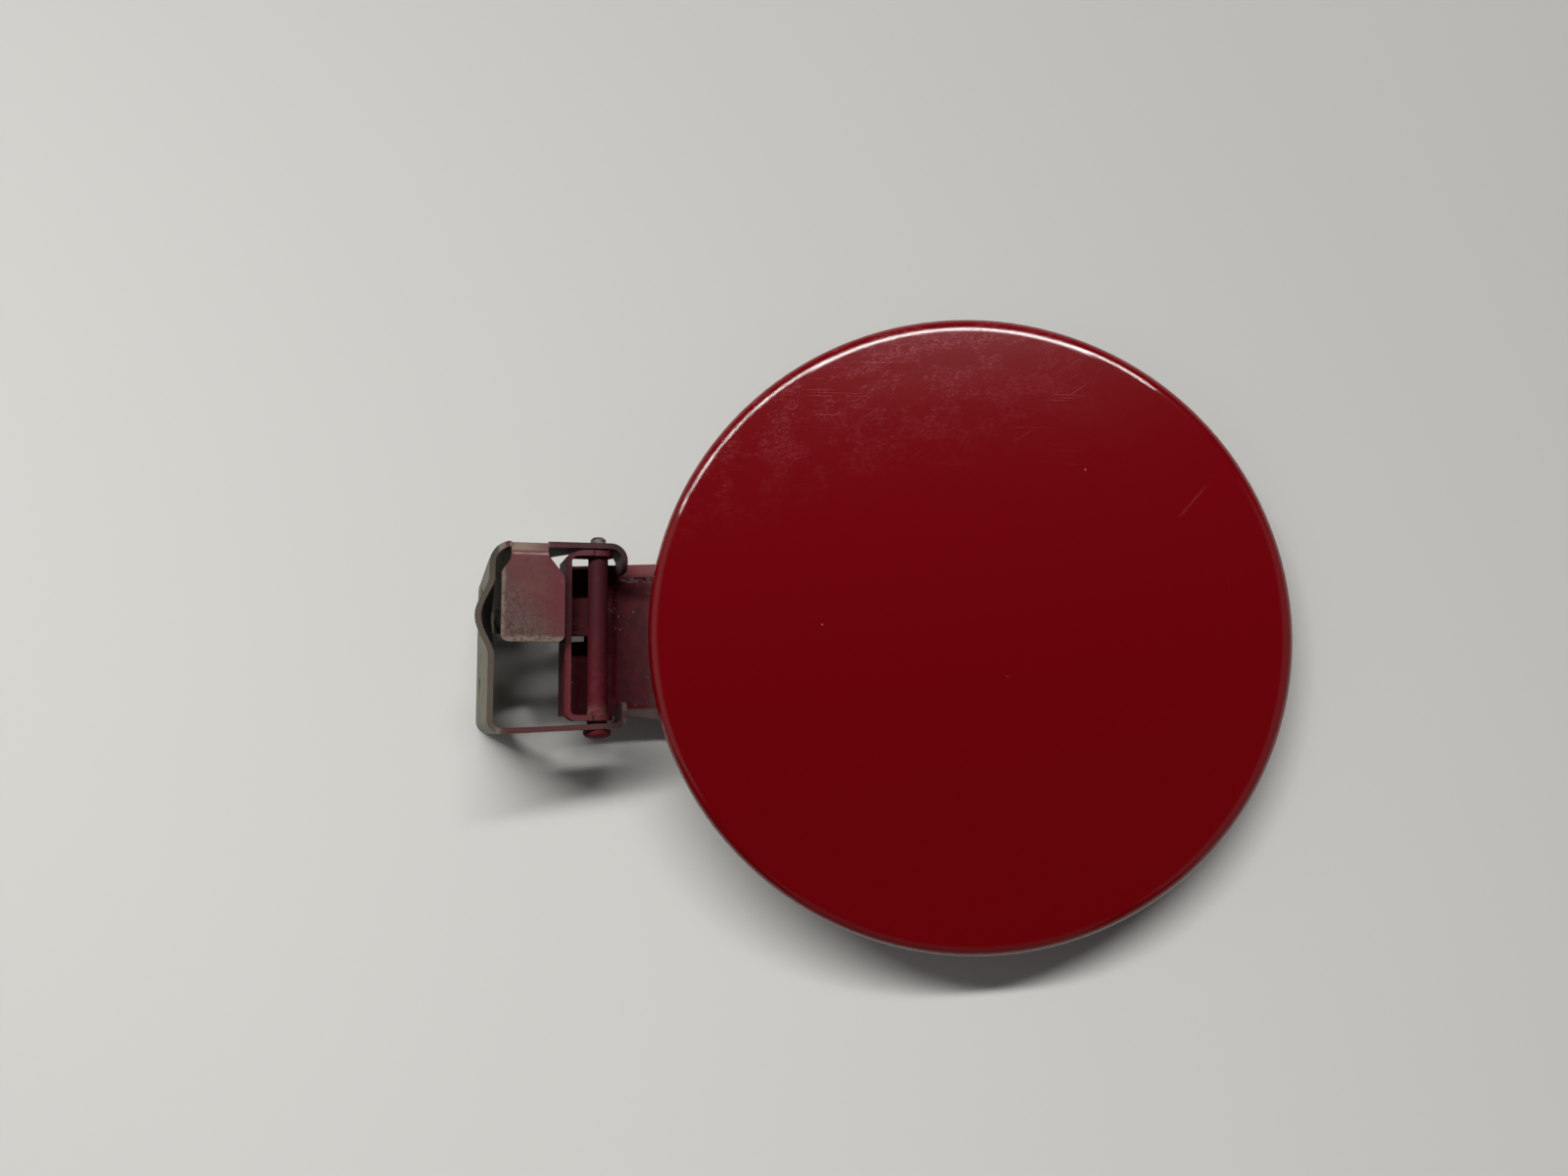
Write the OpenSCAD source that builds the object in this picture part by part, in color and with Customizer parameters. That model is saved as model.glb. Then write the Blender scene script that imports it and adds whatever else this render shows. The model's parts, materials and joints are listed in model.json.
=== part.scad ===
// Round car fuel door on a steel hinge.
// A domed outer panel is hemmed round an inner panel. A gooseneck arm is welded under
// the inner panel, wraps below the hinge pin and carries it in two ears. The pin turns
// in a strap bracket that is bolted to the car through the two holes of its web.
// +Z is the way the door faces, +Y runs along the hinge pin and +X points from the
// hinge to the door. The origin is the middle of the bracket's mounting face.

/* [Door panel] */
// Outside diameter of the door
door_d = 165; // [150:1:180]
// Rise of the outer panel's dome over its edge
dome_rise = 2; // [1:0.5:4]
// Sheet thickness of the outer panel
skin_t = 0.8; // [0.6:0.1:1]
// Outside radius where the outer panel turns down
rim_r = 3.5; // [2.5:0.5:5]
// Depth of the turned edge under the widest line
edge_h = 3.2; // [2.5:0.1:5]
// Width of the hem that is folded in under the edge
hem_w = 10; // [6:0.5:14]

/* [Inner panel] */
// Sheet thickness of the inner panel
inner_t = 0.8; // [0.6:0.1:1]
// Gap between the inner panel's flange and the turned edge
hem_gap = 1.1; // [0.6:0.1:2]
// Width of the inner panel's flange
flange_w = 14.6; // [12:0.2:17]
// Depth of the inner panel's middle below its flange
inner_drop = 2; // [1:0.5:3]
// Distance of the stiffening swage inside the edge of the panel's flat middle
swage_inset = 5; // [4:0.5:7]
// Half width of the stiffening swage
swage_w = 2; // [1:0.5:2.5]
// Distance of the drain holes' circle inside the swage
drain_inset = 8; // [7:0.5:12]
// Diameter of a drain hole
drain_d = 8; // [5:0.5:8]

/* [Hinge place] */
// Distance from the pin's axis to the door's centre
reach = 98.1; // [94:0.1:104]
// Depth of the pin's axis below the widest line of the door
pin_drop = 8; // [7:0.5:10]
// Angle of the bracket to the door as it lies
bracket_tilt = 23; // [20:1:26]

/* [Hinge pin] */
// Diameter of the pin
pin_d = 5.4; // [4:0.1:5.8]
// Diameter of the pin's head
pin_head_d = 7.4; // [6.5:0.1:9]
// Height of the pin's domed head
pin_head_h = 2.6; // [1.5:0.1:3.4]
// Length of the peened end outside the bracket
peen_h = 1.9; // [1:0.1:2.2]
// Diameter of the peened end
peen_d = 4.2; // [3:0.1:4.8]
// Radial clearance of the pin in the arm's ears
ear_fit = 0.06; // [0.02:0.01:0.1]
// Radial clearance of the pin in the bracket
bracket_fit = 0.02; // [0:0.01:0.05]

/* [Hinge arm] */
// Sheet thickness of the arm
arm_t = 1.5; // [1.2:0.1:2]
// Width of the arm where it shows beside the door
arm_w = 42.8; // [40:0.2:44]
// Place of the arm's middle along the pin
arm_y = 0.2; // [0:0.1:0.4]
// Distance from the pin's axis down to the arm's plate
arm_drop = 12.4; // [11:0.1:14]
// Distance of the arm's web from the pin's axis
web_back = 8.9; // [8.5:0.1:9.1]
// Height of the ears and web above the pin's axis
ear_top = 4.9; // [4:0.1:5]
// Radius of the ears round the pin
ear_r = 4.1; // [3.8:0.1:4.4]
// Depth of the ears' straight lower edge below the pin's axis
ear_low = 3.5; // [3.2:0.1:4]
// Side clearance between each ear and the bracket
ear_gap = 0.6; // [0.3:0.1:0.8]
// Widening of the arm from its web to the rise
arm_flare = 2; // [0:0.1:3]
// Distance from the pin's axis to the start of the widening
flare_x = 3; // [0:1:8]
// Inside radius of the fold at the arm's web
arm_fold_r = 2.5; // [2:0.5:4]
// Distance from the pin's axis to the start of the rise
rise_x = 22; // [20:1:26]
// Slope of the rise to the foot
rise_angle = 60; // [50:1:70]
// Width of the foot under the door
foot_w = 78; // [60:1:84]
// Length of the foot under the door
foot_l = 56; // [40:1:64]
// Depth of the recess pressed into the arm's plate
recess_h = 1.2; // [0.6:0.1:1.4]
// Run of the recess's sloping wall
recess_slope = 1.2; // [0.8:0.1:2.4]
// Width of the lanced finger under the pin
finger_w = 10.4; // [8:0.2:12]
// Place of the finger's middle along the pin
finger_y = 6; // [4:0.5:8]
// Clearance all round the finger in its window
finger_gap = 0.9; // [0.5:0.1:1.2]
// Gap between the finger and the pin
finger_lift = 0.7; // [0.4:0.1:1.2]

/* [Bracket] */
// Sheet thickness of the bracket
strap_t = 1.5; // [1.2:0.1:2]
// Outside width of the bracket along the pin
strap_w = 50.4; // [48:0.2:54]
// Widening of the bracket's lower side from the lip to the web
strap_splay = 1.3; // [0:0.1:2]
// Distance from the pin's axis to the mounting face
base_back = 29.2; // [28:0.1:34]
// Height of the bracket's front edge over the pin's axis
strap_top = 4; // [3.6:0.1:5]
// Depth of the web below the pin's axis
base_low = 43; // [38:1:50]
// Narrowing of the bracket's side with the tongue from the lip to the web
strap_taper = 0.4; // [0:0.1:1]
// Lean of the side with the tongue at the web's foot
lean = 2.2; // [0:0.1:3]
// Depth below the pin's axis where the lean starts
lean_start = 6; // [5:0.5:10]
// Outside radius of the web's corner on the tongue's side
corner_r = 6; // [4:0.5:7]
// Outside radius of the web's other corner
corner_low_r = 4; // [3:0.5:6]
// Distance from the pin's axis to the outside of the lips
lip_out = 7.5; // [7.4:0.1:8]
// Outside radius of the fold at the lip on the tongue's side
lip_r = 4.6; // [3.1:0.1:5]
// Outside radius of the fold at the other lip
lip_low_r = 3.2; // [3.1:0.1:3.6]
// Depth of the arms and lips below the pin's axis
lip_low = 6.7; // [6:0.1:7]
// Length of a lip from the bracket's outside
lip_l = 7.6; // [6:0.1:9]
// Length of the other lip from the bracket's outside
lip_low_l = 7; // [6:0.1:9]
// Radius of a lip's free corners
lip_end_r = 3; // [1:0.5:3]
// Distance behind the pin's axis where the sides begin to deepen
arm_back = 6; // [5:0.5:8]
// Drop of the sides' slope behind the arms
side_slope = 6; // [4:0.5:10]
// Width of the sides at the foot of the web
flange_low = 8.5; // [6:0.5:12]

/* [Tongue] */
// Width of the tongue's neck
neck_w = 9.7; // [8:0.1:11]
// Width of the tongue's plate
tongue_w = 16.6; // [14:0.2:17]
// Length of the tongue from the bracket's outside
tongue_l = 26.9; // [24:0.1:32]
// Distance from the pin's axis to the tongue's edge
tongue_gap = 9.4; // [9.3:0.1:11]
// Inside radius of the tongue's fold
tongue_fold_r = 1.3; // [0.8:0.1:2]

/* [Emboss and buffer] */
// Place of the emboss along the pin
emboss_y = 5.1; // [2:0.5:7]
// Height of the emboss at the bracket's front edge
emboss_h = 3.5; // [2.5:0.1:4]
// Half width of the emboss
emboss_w = 11.5; // [9:0.5:12]
// Slope at which the emboss fades into the web
emboss_angle = 18; // [14:1:24]
// Place of the rubber buffer along the pin
buffer_y = 4.4; // [3:0.1:6]
// Diameter of the rubber buffer's head
buffer_d = 7; // [6:0.2:8]
// Height of the rubber buffer's head
buffer_h = 5; // [3:0.5:6]
// Diameter of the buffer's stem in its eye
buffer_stem_d = 4; // [3:0.2:4.6]
// Distance from the pin's axis to the buffer's axis
buffer_back = 23.6; // [23.5:0.1:25]
// Depth of the buffer's eye below the pin's axis
eye_low = 6; // [5:0.5:9]

/* [Mounting holes] */
// Diameter of a bolt hole in the web
bolt_d = 6.6; // [5:0.1:9]
// Distance between the bolt holes
bolt_pitch = 26; // [22:1:30]
// Depth of the bolt holes below the pin's axis
bolt_low = 28; // [26:1:32]

/* [Latch catch] */
// Sheet thickness of the catch
catch_t = 1.5; // [1.2:0.1:2]
// Distance from the door's centre to the catch's leg
catch_x = 54; // [46:1:56]
// Width of the catch
catch_w = 18; // [16:1:24]
// Length of the catch's welded base
catch_base = 16; // [12:1:20]
// Height of the catch's leg under the inner panel
catch_h = 9; // [8:0.5:14]
// Width of the eye for the lock's bolt
catch_eye_w = 10; // [8:0.5:12]
// Height of the eye for the lock's bolt
catch_eye_h = 5; // [4.5:0.5:8]

/* [Hidden] */
$fn = 64;
eps = 0.01;
round_fn = 180;
fold_steps = 8;
dome_steps = 8;
flare_steps = 6;

door_r = door_d / 2;

// radii of the inner panel, from its edge inwards
flange_r = door_r - skin_t - hem_gap;
inner_flat_r = flange_r - flange_w - 2 * inner_drop;
swage_r = inner_flat_r - swage_inset;
drain_ring_r = swage_r - drain_inset;

// outsides of the bracket along the pin: the tongue's side, the lip and the web below it
half_w = strap_w / 2 + 0.3;
low_lip = -strap_w / 2 + 0.5;
low_web = low_lip - strap_splay;
low_pin = low_lip - strap_splay * (lip_out / (lip_out + base_back));
ear_high = half_w - strap_t - ear_gap;
ear_bottom = low_lip + strap_t + ear_gap;

// heights over the pin's axis
rim_z = pin_drop;
hem_z = rim_z - edge_h;
flange_z = hem_z + skin_t;
panel_z = flange_z - inner_drop;
foot_z = panel_z - arm_t;

// place of the hinge axis from the origin
hinge_x = base_back * cos(bracket_tilt) + bolt_low * sin(bracket_tilt);
hinge_z = bolt_low * cos(bracket_tilt) - base_back * sin(bracket_tilt);

web_z = -arm_drop - arm_t / 2;
web_x = -web_back + arm_t / 2;
tongue_mid = -tongue_gap - tongue_w / 2;
tongue_top = half_w - strap_taper * (lip_out - tongue_mid) / (lip_out + base_back);
neck_left = tongue_mid - tongue_w / 2 + 2.4;

function unit(v) = v / norm(v);
function left_of(v) = [-v.y, v.x];
function flip(list) = [for (i = [len(list) - 1:-1:0]) list[i]];
function cross2(a, b) = a.x * b.y - a.y * b.x;

// points of the arc that rounds the corner q between p and s
function corner_arc(p, q, s, r, steps) =
    let (u = unit(p - q), w = unit(s - q), half = acos(u * w) / 2,
         mid = q + unit(u + w) * r / sin(half), start = q + u * r / tan(half) - mid,
         turn = (180 - 2 * half) * sign(cross2(q - p, s - q)),
         from = atan2(start.y, start.x))
    [for (i = [0:steps]) mid + r * [cos(from + turn * i / steps), sin(from + turn * i / steps)]];

// a closed outline with each corner rounded by its own radius
function rounded(pts, radii) =
    let (n = len(pts))
    [for (i = [0:n - 1])
        each radii[i] > 0
            ? corner_arc(pts[(i + n - 1) % n], pts[i], pts[(i + 1) % n], radii[i], fold_steps)
            : [pts[i]]];

// the line beside a path, at the distance d to its left
function beside(path, d) =
    let (n = len(path))
    [for (i = [0:n - 1])
        let (a = unit(i > 0 ? path[i] - path[i - 1] : path[1] - path[0]),
             b = unit(i < n - 1 ? path[i + 1] - path[i] : path[n - 1] - path[n - 2]))
        path[i] + left_of(unit(a + b)) * d / (unit(a + b) * a)];

// an open line whose inner corners are rounded, for one face of a folded sheet
function soft_line(path, radii, d) =
    let (line = beside(path, d), n = len(path))
    [for (i = [0:n - 1])
        each i == 0 || i == n - 1 || radii[i] == 0 ? [line[i]]
            : corner_arc(line[i - 1], line[i], line[i + 1],
                radii[i] - d * sign(cross2(path[i] - path[i - 1], path[i + 1] - path[i])),
                fold_steps)];

// the section of a sheet of thickness t folded along a path
function folded(path, radii, t) =
    concat(soft_line(path, radii, t / 2), flip(soft_line(path, radii, -t / 2)));

function mirrored(pts) = concat(pts, [for (p = flip(pts)) [p.x, -p.y]]);

// the shapes of the hinge lie about the pin's axis
module at_hinge() {
    translate([hinge_x, 0, hinge_z]) children();
}

module at_bracket() {
    at_hinge() rotate([0, bracket_tilt, 0]) children();
}

module at_door() {
    at_hinge() translate([reach, 0, 0]) children();
}

// a section drawn in X and Z, as wide as w and centred on the pin's length
module across(w) {
    rotate([90, 0, 0]) linear_extrude(w, center = true) children();
}

module along_pin(r, from, to) {
    translate([0, from, 0]) rotate([-90, 0, 0]) cylinder(r = r, h = to - from);
}

function dome_z(r) = rim_z + rim_r - skin_t / 2 + dome_rise * (1 - pow(r / (door_r - rim_r), 2));

module outer_panel() {
    wall_r = door_r - skin_t / 2;
    step = (door_r - rim_r) / dome_steps;
    top = [for (i = [0:dome_steps - 1]) [step * i, dome_z(step * max(i, 1))]];
    path = concat(top, [[wall_r, dome_z(door_r - rim_r)], [wall_r, hem_z + skin_t / 2],
                        [door_r - hem_w, hem_z + skin_t / 2]]);
    radii = concat([for (p = top) 0], [rim_r - skin_t / 2, skin_t, 0]);
    color("firebrick") at_door() rotate_extrude($fn = round_fn) polygon(folded(path, radii, skin_t));
}

module inner_panel() {
    low = panel_z + inner_t / 2;
    high = flange_z + inner_t / 2;
    path = [[0, low], [swage_r - swage_w, low], [swage_r, low + swage_w / 2], [swage_r + swage_w, low],
            [inner_flat_r, low], [flange_r - flange_w, high], [flange_r, high]];
    radii = [0, inner_t, inner_t, inner_t, inner_t, inner_t, 0];
    color("brown") at_door() difference() {
        rotate_extrude($fn = round_fn) polygon(folded(path, radii, inner_t));
        for (a = [60, 120, 240, 300])
            rotate(a) translate([drain_ring_r, 0, panel_z - 1]) cylinder(d = drain_d, h = inner_t + 2);
    }
}

// the side view of the arm's sheet from the web's top to the end of the rise
module arm_section() {
    lean = [-sin(bracket_tilt), -cos(bracket_tilt)];
    top = [web_x * cos(bracket_tilt) + ear_top * tan(bracket_tilt) * sin(bracket_tilt), ear_top];
    low = top + lean * (top.y - web_z) / cos(bracket_tilt);
    foot_mid = foot_z + arm_t / 2;
    rise_end = rise_x + (foot_mid - web_z) / tan(rise_angle);
    path = [top, low, [rise_x, web_z], [rise_end, foot_mid], [rise_end + 2 * arm_fold_r + 6, foot_mid]];
    fold = arm_fold_r + arm_t / 2;
    polygon(folded(path, [0, fold, 2 * fold, 2 * fold, 0], arm_t));
}

// the web and both ears, drawn from above and folded as one sheet
module ear_band() {
    high = ear_high - arm_t / 2;
    low = ear_bottom + arm_t / 2;
    path = [[ear_r + 2, high], [web_x, high], [web_x, low], [ear_r + 2, low]];
    fold = arm_t * 1.5;
    rotate([0, bracket_tilt, 0]) translate([0, 0, -20]) linear_extrude(40)
        polygon(folded(path, [0, fold, fold, 0], arm_t));
}

// the ears seen along the pin: their lower edge lies square to the web, clear of the lips
module ear_side() {
    back = -1.5 * web_back;
    across(strap_w + 4) union() {
        circle(r = ear_r);
        polygon([[0, ear_top], [back, ear_top], [back, ear_edge(back)], [0, ear_edge(0)]]);
    }
}

function ear_edge(x) = -(ear_low + x * sin(bracket_tilt)) / cos(bracket_tilt);

// the finger lanced from the web, which lies under the pin
module finger() {
    top = -pin_d / 2 - finger_lift;
    start = -web_back * cos(bracket_tilt) + top * tan(bracket_tilt);
    translate([start - arm_t / 2, finger_y - finger_w / 2, top - arm_t])
        cube([-start + arm_t, finger_w, arm_t]);
}

module finger_window() {
    top = -pin_d / 2 - finger_lift - arm_t;
    translate([-2 * web_back, finger_y - finger_w / 2 - finger_gap, -arm_drop - 2 * arm_t])
        cube([2 * web_back - 7, finger_w + 2 * finger_gap, top + arm_drop + 2 * arm_t]);
}

// a block with sloping sides and round corners, for the recess pressed into the arm
module pressed(x0, x1, y0, y1, z, h) {
    hull() for (i = [0, 1]) {
        inset = recess_slope * i;
        fold = 4 - inset / 2;
        translate([0, 0, z - h * i]) linear_extrude(eps) polygon(rounded(
            [[x0 + inset, y0 + inset], [x1 - inset, y0 + inset], [x1 - inset, y1 - inset],
             [x0 + inset, y1 - inset]], [fold, fold, fold, fold]));
    }
}

// the arm seen from above: straight on the tongue's side, wider towards the rise on the other
module arm_plan() {
    high = arm_y + arm_w / 2;
    low = arm_y - arm_w / 2;
    back = -2 * web_back;
    front = rise_x + foot_l;
    run = rise_x + 2 - flare_x;
    room = 2 * (arm_drop + pin_drop);
    edge = [for (i = [0:flare_steps]) [rise_x + 2 - run * i / flare_steps,
                                       low - arm_flare * (1 + cos(180 * i / flare_steps)) / 2]];
    translate([0, 0, -room]) linear_extrude(2 * room) polygon(concat(
        [[back, high], [front, high], [front, low - arm_flare]], edge, [[back, low]]));
}

module foot() {
    start = rise_x + (foot_z + arm_t / 2 - web_z) / tan(rise_angle) + 4;
    half = foot_w / 2;
    neck = arm_w / 2;
    outline = mirrored([[start, neck], [start + 12, half], [start + foot_l, half * 0.9]]);
    radii = [0, 8, 10, 10, 8, 0];
    translate([0, 0, foot_z]) linear_extrude(arm_t) difference() {
        polygon(rounded(outline, radii));
        translate([start + foot_l * 0.55, 0]) circle(d = foot_w * 0.3);
        for (side = [-1, 1]) translate([start + foot_l * 0.55, side * half * 0.62]) circle(d = 7);
    }
}

module hinge_arm() {
    low_edge = arm_y - arm_w / 2 + 1.6;
    high_edge = arm_y + arm_w / 2 - 3.6;
    color("darkred") at_hinge() difference() {
        union() {
            difference() {
                union() {
                    intersection() {
                        across(arm_w + 20) arm_section();
                        arm_plan();
                    }
                    pressed(1, rise_x - 2, low_edge, high_edge, -arm_drop - arm_t, recess_h);
                }
                pressed(1, rise_x - 2, low_edge, high_edge, -arm_drop, recess_h);
                finger_window();
            }
            intersection() {
                ear_band();
                ear_side();
            }
            finger();
            foot();
        }
        along_pin(pin_d / 2 + ear_fit, -half_w, half_w);
    }
}

module latch_catch() {
    base = [catch_x - catch_base, panel_z - catch_t / 2];
    path = [base, [catch_x, panel_z - catch_t / 2], [catch_x, panel_z - catch_h]];
    eye_z = panel_z - catch_h + 1.8;
    color("dimgray") at_door() difference() {
        across(catch_w) polygon(folded(path, [0, catch_t, 0], catch_t));
        translate([catch_x - catch_t, -catch_eye_w / 2, eye_z])
            cube([2 * catch_t, catch_eye_w, catch_eye_h]);
    }
}

// the strap seen from the front, from one lip round the web to the other
module strap_plan() {
    mid = strap_t / 2;
    lip = lip_out - mid;
    back = -base_back + mid;
    path = [[lip, half_w - lip_l], [lip, half_w - mid], [back, half_w - strap_taper - mid],
            [back, low_web + mid], [lip, low_lip + mid], [lip, low_lip + lip_low_l]];
    radii = [0, lip_r - mid, corner_r - mid, corner_low_r - mid, lip_low_r - mid, 0];
    polygon(folded(path, radii, strap_t));
}

// the outline of both lips seen along X, with rounded free corners
module lip_outline() {
    room = 2 * half_w;
    for (end = [[half_w - lip_l, room], [low_lip + lip_low_l, -room]])
        translate([0, end[0], 0]) rotate([90, 0, 90]) linear_extrude(20)
            polygon(rounded([[0, strap_top], [0, -lip_low], [end[1], -lip_low], [end[1], strap_top]],
                            [lip_end_r, lip_end_r, 0, 0]));
}

// the strap seen along the pin: arms at the front, a deep web and flanges behind them
module strap_side() {
    pts = [[-base_back - 1, strap_top], [lip_out + 1, strap_top], [lip_out + 1, -lip_low],
           [-arm_back, -lip_low], [-arm_back - side_slope, -lip_low - side_slope],
           [-base_back + flange_low, -base_low], [-base_back - 1, -base_low]];
    polygon(rounded(pts, [0, 0, 0, 6, 8, 3, 0]));
}

module strap_part(from, to) {
    intersection() {
        strap_plan();
        translate([-base_back - 5, from]) square([base_back + 20, to - from]);
    }
}

// the strap standing on its plan; the side with the tongue leans in below the arm's ears
module strap_wall() {
    low = base_low - lean_start;
    shear = lean / low;
    translate([0, 0, -lean_start]) linear_extrude(strap_top + lean_start) strap_plan();
    translate([0, 0, -base_low]) linear_extrude(low) strap_part(-half_w - 2, lean + 1);
    multmatrix([[1, 0, 0, 0], [0, 1, shear, shear * lean_start], [0, 0, 1, 0], [0, 0, 0, 1]])
        translate([0, 0, -base_low]) linear_extrude(low) strap_part(0, half_w + 2);
}

// the swelling of the web over the buffer, which fades away from the front edge
function swell(y) = emboss_h * (1 + cos(180 * y / emboss_w)) / 2;

module emboss(outside) {
    rows = 24;
    face = -base_back + (outside ? 0 : strap_t);
    curve = [for (i = [0:rows])
        let (y = emboss_w * (2 * i / rows - 1)) [face - swell(y) + 0.1, y + emboss_y]];
    inner = outside ? -base_back + strap_t / 2 : -base_back + 2 * strap_t;
    outline = concat(curve, [[inner, emboss_y + emboss_w], [inner, emboss_y - emboss_w]]);
    depth = strap_top + emboss_h / tan(emboss_angle) + 4;
    translate([-base_back, 0, strap_top]) rotate([0, -emboss_angle, 0]) translate([base_back, 0, -depth])
        linear_extrude(depth + 4) polygon(outline);
}

module tongue() {
    fold = tongue_fold_r + strap_t;
    left = tongue_mid - tongue_w / 2;
    right = tongue_mid + tongue_w / 2;
    neck_right = neck_left + neck_w;
    flat = tongue_top - fold;
    end = tongue_top - tongue_l;
    pts = [[neck_left, flat + eps], [neck_right, flat + eps], [neck_right, flat - 0.8], [right, flat - 6.6],
           [right, end], [left, end], [left, flat - 5.4], [neck_left, flat - 2]];
    translate([0, 0, strap_top - strap_t]) linear_extrude(strap_t)
        polygon(rounded(pts, [0, 0, 3, 3, 2, 2, 3, 3]));
    translate([neck_left, flat, strap_top - fold]) rotate([90, 0, 90])
        rotate_extrude(angle = 90) translate([tongue_fold_r, 0]) square([strap_t, neck_w]);
}

// the room over the neck, where the wall gives way to the tongue's fold
module tongue_relief() {
    fold = tongue_fold_r + strap_t;
    translate([neck_left, tongue_top - fold - 1, strap_top - fold]) cube([neck_w, fold + 2, fold + 1]);
}

module buffer_eye() {
    edge = -base_back + strap_t;
    width = buffer_d - 0.4;
    translate([edge - strap_t / 2, buffer_y - width / 2, -eye_low - strap_t])
        cube([-buffer_back - edge + strap_t / 2, width, strap_t]);
    translate([-buffer_back, buffer_y, -eye_low - strap_t]) cylinder(d = width, h = strap_t);
}

module eye_window() {
    width = buffer_d + 0.4;
    translate([-base_back - 6, buffer_y - width / 2, -eye_low - strap_t - width])
        cube([7 + strap_t, width, width]);
}

module hinge_bracket() {
    depth = strap_top + base_low;
    color("darkkhaki") at_bracket() difference() {
        union() {
            difference() {
                union() {
                    difference() {
                        intersection() {
                            strap_wall();
                            across(strap_w + 4) strap_side();
                        }
                        difference() {
                            translate([lip_out - strap_t - 0.4, -half_w, -base_low])
                                cube([10, strap_w, depth + 1]);
                            lip_outline();
                        }
                    }
                    intersection() {
                        emboss(true);
                        translate([-base_back - 10, -half_w, -base_low])
                            cube([10 + strap_t / 2, strap_w, depth]);
                    }
                }
                emboss(false);
                eye_window();
                tongue_relief();
            }
            tongue();
            buffer_eye();
        }
        along_pin(pin_d / 2 + bracket_fit, -half_w - 1, half_w + 1);
        for (side = [-1, 1])
            translate([-base_back - 1, side * bolt_pitch / 2, -bolt_low]) rotate([0, 90, 0])
                cylinder(d = bolt_d, h = strap_t + 2);
        translate([-buffer_back, buffer_y, -eye_low - strap_t - 1])
            cylinder(d = buffer_stem_d, h = strap_t + 2);
    }
}

module hinge_pin() {
    foot = low_pin - pin_head_d / 2 * strap_splay / (lip_out + base_back);
    peen_round = 0.6;
    color("slategray") at_bracket() rotate([-90, 0, 0]) rotate_extrude() polygon(concat(
        [[0, half_w + peen_h], [peen_d / 2 - peen_round, half_w + peen_h],
         [peen_d / 2, half_w + peen_h - peen_round], [peen_d / 2, half_w], [pin_d / 2, half_w],
         [pin_d / 2, foot], [pin_head_d / 2, foot]],
        [for (a = [0:15:90]) [pin_head_d / 2 * cos(a), foot - pin_head_h * (0.35 + 0.65 * sin(a))]]));
}

module rubber_buffer() {
    color("black") at_bracket() translate([-buffer_back, buffer_y, -eye_low]) rotate_extrude()
        polygon([[0, buffer_h], [buffer_d / 2 - 1, buffer_h], [buffer_d / 2, buffer_h - 1],
                 [buffer_d / 2, 0], [buffer_stem_d / 2, 0], [buffer_stem_d / 2, -strap_t],
                 [buffer_stem_d / 2 + 0.7, -strap_t], [buffer_stem_d / 2 - 0.4, -strap_t - 2.5],
                 [0, -strap_t - 2.5]]);
}

outer_panel();
inner_panel();
hinge_arm();
latch_catch();
hinge_bracket();
hinge_pin();
rubber_buffer();
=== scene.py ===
"""The round fuel door as photographed: lying on a pale table, seen from almost straight above."""

import json
import math

import bpy
from mathutils import Matrix, Vector


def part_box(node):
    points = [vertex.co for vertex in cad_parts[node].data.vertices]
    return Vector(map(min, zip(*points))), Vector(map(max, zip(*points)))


# the camera's place in metres, and its right, up and back directions
CAMERA_PLACE = Vector((0.1128, -0.0258, 0.3175))
CAMERA_RIGHT = Vector((0.99672, -0.01300, -0.07984))
CAMERA_UP = Vector((0.02281, 0.99212, 0.12317))
CAMERA_BACK = Vector((0.07761, -0.12459, 0.98917))
CAMERA_LENS = 25.99
CAMERA_SENSOR = 36.0

# the room's own dim light, the backdrop, and the point that the lamps look at
ROOM_COLOUR = (0.02, 0.02, 0.021, 1.0)
BACKDROP_COLOUR = (0.60, 0.60, 0.58, 1.0)
LAMP_AIM = Vector((-0.08, 0.0, 0.0))

# the distance of the door's centre from the pin, and the tilt of the bracket against the door
REACH = 0.0981
BRACKET_TILT = math.radians(23)


def linear(r, g, b):
    """The scene-linear colour of a display colour in 0 to 255."""
    parts = []
    for value in (r, g, b):
        value /= 255
        parts.append(value / 12.92 if value <= 0.04045 else ((value + 0.055) / 1.055) ** 2.4)
    return (*parts, 1.0)


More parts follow.
